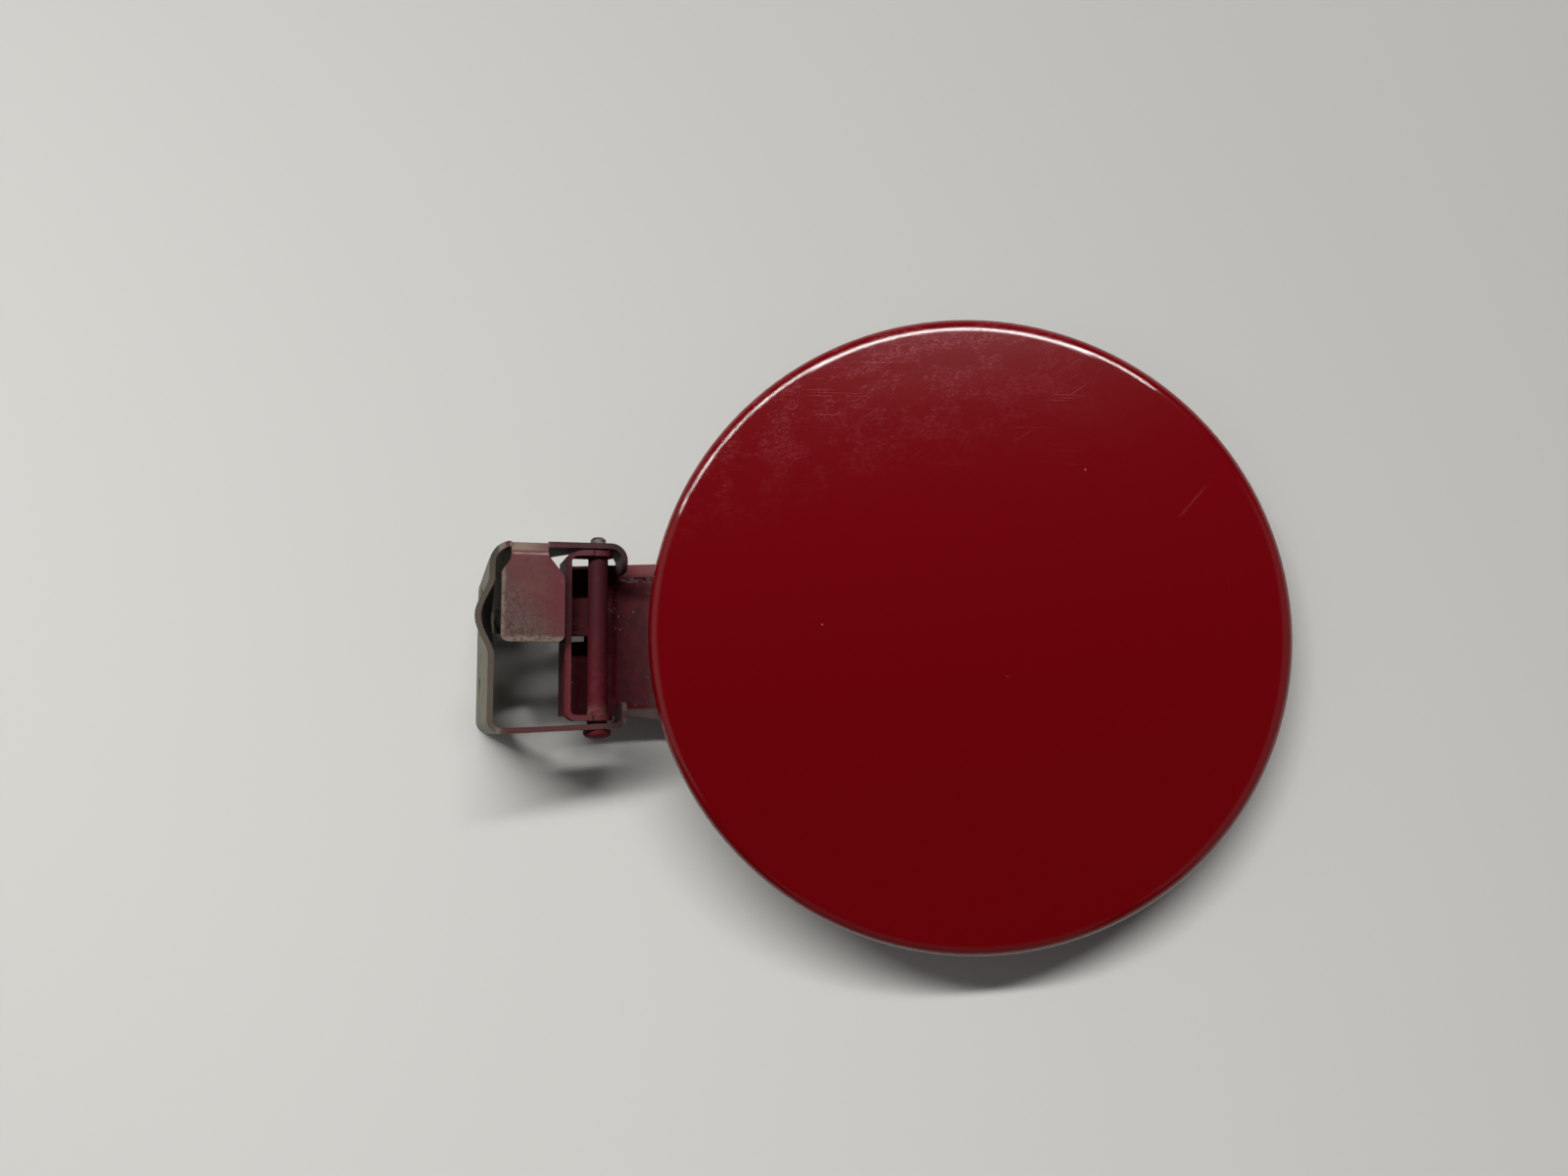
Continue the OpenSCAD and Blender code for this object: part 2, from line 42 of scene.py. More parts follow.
class Shader:
    """A material's node tree, built with short calls."""

    def __init__(self, name, origin=None, tilt=0.0):
        """Places are measured from an origin, where one is given, and level with a part tilted about Y."""
        self.material = bpy.data.materials.new(name)
        self.material.use_nodes = True
        self.tree = self.material.node_tree
        self.tree.nodes.clear()
        self.output = self.tree.nodes.new("ShaderNodeOutputMaterial")
        self.place = self.node("ShaderNodeTexCoord").outputs["Object"]
        if origin is not None:
            moved = self.node("ShaderNodeVectorMath", operation="SUBTRACT")
            self.link(self.place, moved.inputs[0])
            moved.inputs[1].default_value = origin
            self.place = self.turned(moved.outputs[0], (0, -tilt, 0))
        axes = self.node("ShaderNodeSeparateXYZ")
        self.link(self.place, axes.inputs[0])
        self.x, self.y, self.z = axes.outputs

    def node(self, kind, **settings):
        made = self.tree.nodes.new(kind)
        for key, value in settings.items():
            setattr(made, key, value)
        return made

    def link(self, source, target):
        """Connects a socket to the target, or sets the target to a value."""
        if hasattr(source, "links"):
            self.tree.links.new(source, target)
        else:
            target.default_value = source

    def math(self, operation, *values):
        made = self.node("ShaderNodeMath", operation=operation)
        for socket, value in zip(made.inputs, values):
            self.link(value, socket)
        return made.outputs[0]

    def plus(self, first, second):
        return self.math("ADD", first, second)

    def times(self, *values):
        product = values[0]
        for value in values[1:]:
            product = self.math("MULTIPLY", product, value)
        return product

    def away(self):
        """The distance from the Z axis."""
        return self.math("SQRT", self.plus(self.times(self.x, self.x), self.times(self.y, self.y)))

    def turned(self, vector, angles):
        made = self.node("ShaderNodeMapping")
        made.inputs["Rotation"].default_value = angles
        self.link(vector, made.inputs["Vector"])
        return made.outputs[0]

    def stretched(self, scale, turn=0.0):
        """The place, turned about Z and scaled, for a drawn-out texture."""
        made = self.node("ShaderNodeMapping")
        made.inputs["Scale"].default_value = scale
        self.link(self.turned(self.place, (0, 0, turn)), made.inputs["Vector"])
        return made.outputs[0]

    def noise(self, scale, detail=3.0, rough=0.55, vector=None):
        made = self.node("ShaderNodeTexNoise")
        made.inputs["Scale"].default_value = scale
        made.inputs["Detail"].default_value = detail
        made.inputs["Roughness"].default_value = rough
        self.link(self.place if vector is None else vector, made.inputs["Vector"])
        return made.outputs["Fac"]

    def specks(self, scale, size):
        """1 inside small round specks, 0 between them."""
        made = self.node("ShaderNodeTexVoronoi")
        made.inputs["Scale"].default_value = scale
        self.link(self.place, made.inputs["Vector"])
        return self.ramp(made.outputs["Distance"], size, size * 0.7)

    def ramp(self, value, low, high):
        """0 at low and 1 at high; low may be above high."""
        made = self.node("ShaderNodeMapRange", clamp=True, interpolation_type="SMOOTHSTEP")
        self.link(value, made.inputs["Value"])
        made.inputs["From Min"].default_value = low
        made.inputs["From Max"].default_value = high
        return made.outputs["Result"]

    def within(self, value, low, high, soft):
        """1 where the value lies between low and high, with soft ends."""
        return self.times(self.ramp(value, low - soft, low + soft),
                          self.ramp(value, high + soft, high - soft))

    def line(self, start, end, width):
        """1 along a thin straight line on the surface seen from above, 0 beside it."""
        run = Vector(end) - Vector(start)
        along = run.normalized()
        from_x = self.math("SUBTRACT", self.x, start[0])
        from_y = self.math("SUBTRACT", self.y, start[1])
        beside = self.math("SUBTRACT", self.times(from_x, along.y), self.times(from_y, along.x))
        beyond = self.plus(self.times(from_x, along.x), self.times(from_y, along.y))
        near = self.ramp(self.math("ABSOLUTE", beside), width, 0.0)
        return self.times(near, self.within(beyond, 0.0, run.length, run.length * 0.1))

    def mix(self, factor, first, second):
        made = self.node("ShaderNodeMix", data_type="RGBA")
        self.link(factor, made.inputs["Factor"])
        self.link(first, made.inputs[6])
        self.link(second, made.inputs[7])
        return made.outputs[2]

    def blend(self, factor, first, second):
        """Mixes two whole surfaces."""
        made = self.node("ShaderNodeMixShader")
        for socket, source in zip(made.inputs, (factor, first, second)):
            self.link(source, socket)
        return made.outputs[0]

    def bump(self, height, strength, distance):
        made = self.node("ShaderNodeBump")
        made.inputs["Strength"].default_value = strength
        made.inputs["Distance"].default_value = distance
        self.link(height, made.inputs["Height"])
        return made.outputs["Normal"]

    def faces(self, direction, tilt=0.0):
        """1 on the faces that look along a direction, 0 on those that look away from it."""
        level = self.turned(self.node("ShaderNodeTexCoord").outputs["Normal"], (0, -tilt, 0))
        along = self.node("ShaderNodeVectorMath", operation="DOT_PRODUCT")
        self.link(level, along.inputs[0])
        along.inputs[1].default_value = direction
        return self.ramp(along.outputs["Value"], 0.0, 0.3)

    def rounded(self, radius):
        """The surface's direction, smoothed over the small steps of a turned edge."""
        made = self.node("ShaderNodeBevel", samples=6)
        made.inputs["Radius"].default_value = radius
        return made.outputs["Normal"]

    def domed(self, bend):
        """The direction of a shallow dome about Z, whose slope grows by a bend per metre of radius."""
        sloped = self.node("ShaderNodeCombineXYZ")
        self.link(self.times(self.x, bend), sloped.inputs["X"])
        self.link(self.times(self.y, bend), sloped.inputs["Y"])
        sloped.inputs["Z"].default_value = 1.0
        turned = self.node("ShaderNodeVectorTransform", vector_type="NORMAL",
                           convert_from="OBJECT", convert_to="WORLD")
        self.link(sloped.outputs[0], turned.inputs[0])
        made = self.node("ShaderNodeVectorMath", operation="NORMALIZE")
        self.link(turned.outputs[0], made.inputs[0])
        return made.outputs[0]

    def finish(self, surface):
        """Shows a surface and gives the finished material."""
        self.link(surface, self.output.inputs["Surface"])
        return self.material

    def painted(self, colour, roughness, normal, coat=0.0, specular=0.5, coat_normal=None):
        made = self.node("ShaderNodeBsdfPrincipled")
        self.link(colour, made.inputs["Base Color"])
        self.link(normal, made.inputs["Normal"])
        made.inputs["Roughness"].default_value = roughness
        made.inputs["Coat Weight"].default_value = coat
        made.inputs["Coat Roughness"].default_value = 0.04
        made.inputs["Specular IOR Level"].default_value = specular
        if coat_normal is not None:
            self.link(coat_normal, made.inputs["Coat Normal"])
        return self.finish(made.outputs[0])


class WornPaint(Shader):
    """A paint whose borders wander by a small share of a noise."""

    def __init__(self, name, origin, tilt, grain, edge, depth):
        """The grain and the edge are scales of noise; a border wanders by up to half the depth in metres."""
        super().__init__(name, origin, tilt)
        self.grain = self.noise(grain, 5, 0.65)
        self.edge = self.times(self.math("SUBTRACT", self.noise(edge, 4), 0.5), depth)

    def wavy(self, value, *share):
        """A place, shifted by the wandering edge or by a share of it."""
        return self.plus(value, self.times(self.edge, *share))


# In the pairs below, a colour starts at the first place and is full at the second. The pairs named
# limits hold its two ends instead, and the scratch's two are points. Places are in metres, with x
# towards the door, y along the pin and z up, level with each piece: on the outer panel from its centre,
# on the table from its own middle, and on the other pieces from the pin's middle.

# the outer panel
LACQUER = linear(101, 3, 10)
LACQUER_SHADED_LOW = linear(95, 2, 7)
LACQUER_HAZE_SHEEN = linear(176, 95, 106)
LACQUER_HAIRLINE = linear(200, 130, 132)
LACQUER_SCRATCH = linear(190, 110, 114)
LACQUER_SPECK = linear(205, 150, 150)
LACQUER_SHADE_RISE = (-0.06, 0.07)
HAZE_SLANT = -0.25
HAZE_UP = (0.035, 0.084)
HAZE_LEFT = (0.060, 0.006)
HAIRLINES_UP = (0.030, 0.065)
SCRATCH_START = (0.0555, 0.0270)
SCRATCH_END = (0.0645, 0.0370)
SCRATCH_WIDTH = 0.0005
DOME_RISE = 0.0014
DOME_RADIUS = 0.0780
DOME_BLEND = 0.003
RIM_ROUND = 0.0015


def body_paint(centre):
    """Glossy crimson lacquer, hazed by fine scratches towards its upper left edge, with a painted sheen on
    that haze and painted shade towards the bottom, and few specks.
    """
    s = Shader("body_paint", centre)
    zone = s.ramp(s.plus(s.y, s.times(s.x, HAZE_SLANT)), *HAZE_UP)
    zone = s.times(zone, s.ramp(s.x, *HAZE_LEFT))
    patches = s.ramp(s.noise(1.0, 5, 0.72, s.stretched((110, 170, 110), -0.25)), 0.46, 0.58)
    fine = s.ramp(s.noise(1.0, 4, 0.75, s.stretched((700, 1500, 500), -0.15)), 0.46, 0.62)
    coarse = s.ramp(s.noise(900, 4, 0.7), 0.47, 0.64)
    grain = s.plus(s.times(fine, 0.55), s.times(coarse, 0.45))
    haze_and_sheen = s.times(zone, s.plus(0.06, s.times(patches, 0.94)), s.plus(0.06, grain))
    level_hairs = s.ramp(s.noise(1.0, 2, 0.5, s.stretched((60, 2300, 90), 0.06)), 0.64, 0.72)
    slanted_hairs = s.ramp(s.noise(1.0, 2, 0.5, s.stretched((60, 2000, 90), -0.55)), 0.67, 0.73)
    hairs = s.math("MAXIMUM", level_hairs, slanted_hairs)
    hairs = s.times(hairs, s.ramp(s.noise(40, 2), 0.50, 0.62), s.ramp(s.y, *HAIRLINES_UP))
    scratch = s.times(s.line(SCRATCH_START, SCRATCH_END, SCRATCH_WIDTH), s.ramp(s.noise(240, 3), 0.4, 0.6))
    dust = s.times(s.specks(170, 0.045), s.ramp(s.noise(70, 2), 0.58, 0.64))
    # painted shade: the lacquer darkens towards the door's lower edge
    colour = s.mix(s.ramp(s.y, *LACQUER_SHADE_RISE), LACQUER_SHADED_LOW, LACQUER)
    # real haze of fine scratches, painted brighter as a sheen of the lamp reflected near the upper left edge
    colour = s.mix(s.times(haze_and_sheen, 0.25), colour, LACQUER_HAZE_SHEEN)
    colour = s.mix(s.times(hairs, 0.10), colour, LACQUER_HAIRLINE)
    colour = s.mix(s.times(scratch, 0.06), colour, LACQUER_SCRATCH)
    colour = s.mix(s.times(dust, 0.4), colour, LACQUER_SPECK)
    # the gloss follows the true dome on the face, and a smooth round on the rim
    on_dome = s.times(s.ramp(s.away(), DOME_RADIUS, DOME_RADIUS - DOME_BLEND), s.faces((0, 0, 1)))
    gloss = s.mix(on_dome, s.rounded(RIM_ROUND), s.domed(2 * DOME_RISE / DOME_RADIUS ** 2))
    return s.painted(colour, 0.18, s.bump(s.noise(150, 2, 0.5), 0.02, 0.0004), coat=0.8, specular=0.03,
                     coat_normal=gloss)


# the inner panel and the catch
HIDDEN_RED = linear(100, 14, 20)
HIDDEN_RED_DARK = linear(76, 16, 21)
HIDDEN_SPECK = linear(150, 120, 116)


def panel_paint():
    """The thinner body colour on the door's hidden side, with dull overspray."""
    s = Shader("panel_paint")
    mottled = s.ramp(s.noise(90, 5, 0.6), 0.35, 0.7)
    colour = s.mix(mottled, HIDDEN_RED, HIDDEN_RED_DARK)
    colour = s.mix(s.times(s.specks(500, 0.1), 0.35), colour, HIDDEN_SPECK)
    return s.painted(colour, 0.42, s.bump(s.noise(600, 3), 0.10, 0.0002), specular=0.35)


# the hinge arm
ARM_RED = linear(72, 13, 21)
ARM_RED_DARK = linear(52, 9, 15)
SHOULDER_WEAR_AND_LIGHT = linear(114, 58, 62)
CREST_HIGHLIGHT = linear(190, 150, 150)
EAR_PINK = linear(86, 36, 42)
BARE_GREY = linear(72, 65, 62)
ARM_PALER = linear(96, 66, 68)
ARM_MARK = linear(150, 120, 120)
ARM_HAIRLINE = linear(140, 110, 110)
WEB_TONGUE_SHADOW = linear(44, 12, 18)
WEB_LIT = linear(92, 30, 38)
PLATE_SIDE = (0.001, 0.005)
PLATE_DEPTH = (-0.004, -0.009)
SHOULDER = (0.0165, 0.0192)
SHOULDER_CREST_LIMITS = (0.0170, 0.0176)
EAR_TOP = (0.001, 0.003)
EAR_SIDE = (-0.008, -0.005)
EAR_FACE = (0.0195, 0.0215)
PLATE_LOWER_EDGE = (-0.0188, -0.0198)
PLATE_PALER = (0.0095, 0.0135)
WEB_SIDE = (-0.0045, -0.0062)
WEB_CREST = (0.0, 0.003)
TONGUE_SHADOW_SPAN = (-0.004, 0.002)
PAST_TONGUE_SHADOW = (-0.001, -0.006)


def arm_paint(hinge):
    """Dark dull red over steel, worn to pink and grey on the shoulder, the ears and the lower edge, with
    painted light on the shoulder, a painted highlight on its crest and a painted shadow of the tongue on the
    web.
    """
    s = WornPaint("arm_paint", hinge, 0.0, grain=320, edge=260, depth=0.004)
    colour = s.mix(s.ramp(s.grain, 0.36, 0.68), ARM_RED, ARM_RED_DARK)
    # worn pink with painted light on the plate's raised shoulder, a painted highlight along its crest, and
    # worn pink on the ears
    on_plate = s.times(s.ramp(s.x, *PLATE_SIDE), s.ramp(s.z, *PLATE_DEPTH))
    shoulder = s.times(on_plate, s.ramp(s.wavy(s.y), *SHOULDER))
    colour = s.mix(s.times(shoulder, s.plus(0.55, s.times(s.grain, 0.6)), 0.95), colour, SHOULDER_WEAR_AND_LIGHT)
    crest = s.times(on_plate, s.within(s.wavy(s.y), *SHOULDER_CREST_LIMITS, 0.0004),
                    s.ramp(s.grain, 0.42, 0.6))
    colour = s.mix(s.times(crest, 0.8), colour, CREST_HIGHLIGHT)
    ears = s.times(s.ramp(s.z, *EAR_TOP), s.ramp(s.x, *EAR_SIDE), s.ramp(s.math("ABSOLUTE", s.y), *EAR_FACE))
    colour = s.mix(s.times(ears, 0.75), colour, EAR_PINK)
    # bare grey along the plate's lower edge, paler towards the door
    low = s.times(on_plate, s.ramp(s.wavy(s.y, 0.4), *PLATE_LOWER_EDGE))
    colour = s.mix(s.times(low, 0.8), colour, BARE_GREY)
    dusty = s.times(on_plate, s.ramp(s.wavy(s.x), *PLATE_PALER))
    colour = s.mix(s.times(dusty, s.ramp(s.grain, 0.30, 0.62), 0.38), colour, ARM_PALER)
    marks = s.times(s.specks(480, 0.13), s.ramp(s.noise(150, 2), 0.50, 0.60))
    colour = s.mix(s.times(marks, 0.55), colour, ARM_MARK)
    hairs = s.ramp(s.noise(1.0, 2, 0.5, s.stretched((160, 1700, 160), 0.5)), 0.68, 0.74)
    colour = s.mix(s.times(hairs, 0.30), colour, ARM_HAIRLINE)
    # painted shadow of the tongue on the web's crest beside it, and painted light on the crest below it
    crest_web = s.times(s.ramp(s.x, *WEB_SIDE), s.ramp(s.z, *WEB_CREST))
    colour = s.mix(s.times(crest_web, s.ramp(s.y, *TONGUE_SHADOW_SPAN), 0.6), colour, WEB_TONGUE_SHADOW)
    colour = s.mix(s.times(crest_web, s.ramp(s.y, *PAST_TONGUE_SHADOW), 0.7), colour, WEB_LIT)
    return s.painted(colour, 0.52, s.bump(s.noise(600, 3), 0.12, 0.0002), specular=0.15)


# the bracket's primer and overspray
PRIMER = linear(110, 108, 91)
PRIMER_SHADED = linear(97, 91, 75)
PRIMER_STAIN = linear(92, 84, 75)
EDGE_BROWN = linear(70, 58, 51)
EDGE_CORNER_SHADE = linear(50, 41, 38)
SPRAY = linear(95, 49, 50)
SPRAY_DEEP = linear(86, 38, 44)
SPRAY_OUTSIDE = linear(72, 35, 38)
SPRAY_HIGH_ARM = linear(60, 26, 30)
FRONT_EDGE = (0.0030, 0.0038)
FRAME_EDGE = (-0.0262, -0.0274)
SHADED_CORNER = (0.0120, 0.0200)
SPRAY_SIDE = (-0.0275, -0.0245)
SPRAY_DEPTH = (-0.009, -0.001)
ARM_INSIDE = (0.0236, 0.0229)
HIGH_ARM = (0.0225, 0.0235)
HIGH_ARM_SIDE = (-0.0135, -0.0120)

# the bracket's tongue and its neck
TONGUE_RED = linear(90, 36, 45)
TONGUE_BROWN = linear(88, 70, 64)
TONGUE_BORDER = linear(118, 106, 94)
TONGUE_DIRT = linear(42, 30, 29)
TONGUE_STAIN = linear(52, 36, 35)
TONGUE_PIT = linear(52, 30, 34)
TONGUE_SCUFF = linear(130, 96, 94)
NECK_BEIGE = linear(128, 110, 99)
CREASE_HIGHLIGHT = linear(168, 138, 134)
TONGUE_TOP = (0.0018, 0.0024)
TONGUE_X_LIMITS = (-0.0268, -0.0088)
TONGUE_Y_LIMITS = (-0.0030, 0.0245)
TONGUE_RIGHT = (-0.0178, -0.0105)
TONGUE_OUTER_CORNER = (-0.006, -0.0185)
TONGUE_LEFT_BORDER = (-0.0249, -0.0255)
TONGUE_END_BORDER = (0.0002, -0.0008)
NECK_START = (0.0222, 0.0232)
NECK_X_LIMITS = (-0.0240, -0.0136)
NECK_TOP = (-0.001, 0.001)
NECK_PALE = (-0.0150, -0.0200)
CREASE_Y_LIMITS = (0.0216, 0.0221)
CREASE_X_LIMITS = (-0.0232, -0.0138)

# the bracket's lips, the hollow of its emboss and the buffer's eye
LIP_SHADE = linear(42, 22, 25)
LIP_RIM = linear(84, 70, 67)
HOLLOW_SHADE = linear(18, 15, 20)
EYE_SHADE = linear(26, 22, 24)
LIPS = (-0.001, 0.0055)
LIP_END = (0.0060, 0.0068)
LIP_WORN = (0.010, -0.010)
HOLLOW_BACK = (-0.0330, -0.0300)
HOLLOW_FRONT = (-0.0245, -0.0262)
HOLLOW_Y_LIMITS = (-0.004, 0.0150)
HOLLOW_TOP = (0.0036, 0.0026)
EYE_TOP = (-0.0045, -0.0055)
EYE_BOTTOM = (-0.0085, -0.0075)
EYE_BACK = (-0.0275, -0.0268)
EYE_FRONT = (-0.0180, -0.0190)
EYE_BESIDE = (0.0226, 0.0220)


class BracketPaint(WornPaint):
    """Grey-beige primer that a dull red overspray covers on the tongue, the arms and the lips."""

    def __init__(self, hinge):
        super().__init__("bracket_paint", hinge, BRACKET_TILT, grain=300, edge=230, depth=0.006)
        self.clouds = self.noise(110, 4, 0.6)
        self.front = self.ramp(self.z, *FRONT_EDGE)

    def primer(self):
        """Clouded beige, browner on the cut edges along the front, with painted shade darkest at the
        tongue's corner.
        """
        colour = self.mix(self.ramp(self.clouds, 0.35, 0.7), PRIMER, PRIMER_SHADED)
        colour = self.mix(self.times(self.ramp(self.grain, 0.5, 0.75), 0.45), colour, PRIMER_STAIN)
        cut_edge = self.times(self.front, self.ramp(self.x, *FRAME_EDGE))
        # painted shade darkens the brown cut edge towards the tongue's corner
        brown = self.mix(self.ramp(self.y, *SHADED_CORNER), EDGE_BROWN, EDGE_CORNER_SHADE)
        return self.mix(self.times(cut_edge, 0.8), colour, brown)

    def overspray(self, colour):
        """Red that came from the door's side and from above, darker on the arms' outer faces."""
        sprayed = self.times(self.ramp(self.wavy(self.x), *SPRAY_SIDE), self.ramp(self.z, *SPRAY_DEPTH))
        red = self.mix(self.ramp(self.clouds, 0.38, 0.66), SPRAY, SPRAY_DEEP)
        inside = self.ramp(self.math("ABSOLUTE", self.y), *ARM_INSIDE)
        red = self.mix(inside, SPRAY_OUTSIDE, red)
        high_side = self.times(self.ramp(self.y, *HIGH_ARM), self.ramp(self.x, *HIGH_ARM_SIDE))
        red = self.mix(high_side, red, SPRAY_HIGH_ARM)
        return self.mix(self.times(sprayed, 0.94), colour, red)

    def tongue(self, colour):
        """Redder to the right, brown and specked at the outer corner, beige along the borders."""
        plate = self.times(self.ramp(self.z, *TONGUE_TOP), self.within(self.x, *TONGUE_X_LIMITS, 0.0002),
                           self.within(self.y, *TONGUE_Y_LIMITS, 0.0005))
        right = self.ramp(self.wavy(self.x, 0.8), *TONGUE_RIGHT)
        colour = self.mix(self.times(plate, right, 0.75), colour, TONGUE_RED)
        slant = self.plus(self.x, self.times(self.y, 0.8))
        corner = self.times(self.ramp(slant, *TONGUE_OUTER_CORNER), plate)
        browned = self.times(corner, self.plus(0.4, self.times(self.clouds, 0.6)))
        colour = self.mix(browned, colour, TONGUE_BROWN)
        left_border = self.ramp(self.wavy(self.x, 0.12), *TONGUE_LEFT_BORDER)
        end_border = self.ramp(self.wavy(self.y, 0.25), *TONGUE_END_BORDER)
        border = self.times(self.math("MAXIMUM", left_border, end_border), plate)
        colour = self.mix(self.times(border, 0.75), colour, TONGUE_BORDER)
        dirt = self.times(self.specks(1500, 0.36), self.ramp(self.noise(380, 3), 0.36, 0.52), corner)
        colour = self.mix(self.times(dirt, 0.8), colour, TONGUE_DIRT)
        stains = self.times(self.ramp(self.noise(700, 5, 0.75), 0.50, 0.60),
                            self.plus(0.25, self.times(corner, 0.75)), plate)
        colour = self.mix(self.times(stains, 0.6), colour, TONGUE_STAIN)
        pits = self.times(self.specks(560, 0.15), self.ramp(self.noise(190, 2), 0.48, 0.60), plate)
        colour = self.mix(self.times(pits, 0.7), colour, TONGUE_PIT)
        streaks = self.noise(1.0, 3, 0.6, self.stretched((900, 240, 300), 0.3))
        scuffs = self.times(plate, self.ramp(streaks, 0.66, 0.74))
        return self.mix(self.times(scuffs, 0.35), colour, TONGUE_SCUFF)

    def neck(self, colour):
        """Beige on the neck's left and top, with a painted highlight along the crease where it folds."""
        neck = self.times(self.ramp(self.y, *NECK_START), self.within(self.x, *NECK_X_LIMITS, 0.0003),
                          self.ramp(self.z, *NECK_TOP))
        pale = self.ramp(self.wavy(self.x, 1.2), *NECK_PALE)
        colour = self.mix(self.times(neck, self.plus(0.35, self.times(pale, 0.5))), colour, NECK_BEIGE)
        # painted highlight along the fold's crease
        crease = self.times(self.within(self.wavy(self.y, 0.10), *CREASE_Y_LIMITS, 0.0003),
                            self.within(self.x, *CREASE_X_LIMITS, 0.0008),
                            self.ramp(self.clouds, 0.30, 0.55), self.front)
        return self.mix(self.times(crease, 0.8), colour, CREASE_HIGHLIGHT)

    def lips(self, colour):
        """Lips darkened by painted shade, with a paler worn rim."""
        # painted shade over the lips
        colour = self.mix(self.times(self.ramp(self.x, *LIPS), 0.92), colour, LIP_SHADE)
        rim = self.times(self.ramp(self.x, *LIP_END), self.ramp(self.grain, 0.40, 0.58),
                         self.ramp(self.y, *LIP_WORN))
        return self.mix(self.times(rim, 0.6), colour, LIP_RIM)

    def hollows(self, colour):
        """Painted shade in the hollow behind the emboss and on the buffer's eye."""
        # painted shade in the emboss's hollow
        hollow = self.times(self.ramp(self.x, *HOLLOW_BACK), self.ramp(self.x, *HOLLOW_FRONT),
                            self.within(self.y, *HOLLOW_Y_LIMITS, 0.003), self.ramp(self.z, *HOLLOW_TOP),
                            self.faces((1, 0, 0), BRACKET_TILT))
        colour = self.mix(self.times(hollow, 0.9), colour, HOLLOW_SHADE)
        # painted shade on the buffer's eye
        eye = self.times(self.ramp(self.z, *EYE_TOP), self.ramp(self.z, *EYE_BOTTOM),
                         self.ramp(self.x, *EYE_BACK), self.ramp(self.x, *EYE_FRONT),
                         self.ramp(self.math("ABSOLUTE", self.y), *EYE_BESIDE))
        return self.mix(self.times(eye, 0.9), colour, EYE_SHADE)


def bracket_paint(hinge):
    """The bracket's layers, laid over each other from the primer up."""
    s = BracketPaint(hinge)
    colour = s.primer()
    for layer in (s.overspray, s.tongue, s.neck, s.lips, s.hollows):
        colour = layer(colour)
    return s.painted(colour, 0.55, s.bump(s.noise(500, 3), 0.14, 0.0002), specular=0.2)


# the pin
PIN_RED = linear(84, 25, 33)
PIN_RED_DARK = linear(66, 16, 24)
PIN_RED_UPPER = linear(60, 21, 27)
PIN_STEEL = linear(118, 112, 108)
PIN_STEEL_DARK = linear(60, 54, 53)
PIN_SCUFF = linear(50, 40, 42)
PIN_DUST = linear(112, 84, 80)
PIN_REDDER = (0.012, -0.018)
PIN_PEEN = (0.0236, 0.0250)
PIN_SCUFFED = (0.011, 0.019)
PIN_FOOT = (-0.0175, -0.0205)
PIN_FOOT_END = (-0.0235, -0.0225)


def pin_paint(hinge):
    """Dull red on the pin, scuffed and dusty towards its ends, with a peened end of bare grey steel."""
    s = Shader("pin_paint", hinge)
    grain = s.noise(420, 5, 0.65)
    red = s.mix(s.ramp(grain, 0.35, 0.68), PIN_RED, PIN_RED_DARK)
    red = s.mix(s.ramp(s.y, *PIN_REDDER), PIN_RED_UPPER, red)
    steel = s.mix(s.ramp(grain, 0.40, 0.65), PIN_STEEL, PIN_STEEL_DARK)
    colour = s.mix(s.ramp(s.y, *PIN_PEEN), red, steel)
    scuffed = s.times(s.ramp(s.y, *PIN_SCUFFED), s.ramp(grain, 0.50, 0.60))
    colour = s.mix(s.times(scuffed, 0.6), colour, PIN_SCUFF)
    foot = s.times(s.ramp(s.y, *PIN_FOOT), s.ramp(s.y, *PIN_FOOT_END), s.ramp(grain, 0.30, 0.62))
    colour = s.mix(s.times(foot, 0.7), colour, PIN_DUST)
    return s.painted(colour, 0.55, s.bump(s.noise(700, 3), 0.12, 0.0002), specular=0.08)


def rubber():
    """Matt black rubber."""
    s = Shader("rubber")
    return s.painted(linear(20, 20, 22), 0.75, s.bump(s.noise(900, 3), 0.15, 0.0002), specular=0.25)


# the table is painted lighter at the front left and darker away from it as painted light, and runs into the
# backdrop far from the object
TABLE_PAINTED_LIT = (0.664, 0.664, 0.645, 1.0)
TABLE_PAINTED_SHADE = (0.364, 0.364, 0.356, 1.0)
TABLE_LIGHT_FALLOFF = (-0.45, 0.45)
TABLE_SLANT = 0.7
TABLE_FADE = (0.40, 1.30)
TABLE_SIZE = 6.0
TABLE_GAP = 0.0002
TABLE_SHIFT = 0.11
FOOT_INSET = 0.001


def table_top():
    """Pale table; its back face is clear, so low views still show the object."""
    s = Shader("table_top")
    light = s.node("ShaderNodeLightPath").outputs
    far = s.times(s.ramp(s.away(), *TABLE_FADE), light["Is Camera Ray"])
    # painted light: the table's colour falls off from the front left
    painted_falloff = s.ramp(s.plus(s.y, s.times(s.x, TABLE_SLANT)), *TABLE_LIGHT_FALLOFF)
    shade = s.node("ShaderNodeBsdfDiffuse")
    s.link(s.mix(painted_falloff, TABLE_PAINTED_LIT, TABLE_PAINTED_SHADE), shade.inputs["Color"])
    backdrop = s.node("ShaderNodeEmission")
    backdrop.inputs["Color"].default_value = BACKDROP_COLOUR
    top = s.blend(far, shade.outputs[0], backdrop.outputs[0])
    # light from under the table reaches the underside
    behind = s.node("ShaderNodeNewGeometry").outputs["Backfacing"]
    through = s.math("MAXIMUM", behind, light["Is Shadow Ray"])
    clear = s.node("ShaderNodeBsdfTransparent")
    return s.finish(s.blend(through, top, clear.outputs[0]))


def dress(node, material):
    """Gives a piece its one material."""
    node.data.materials.clear()
    node.data.materials.append(material)


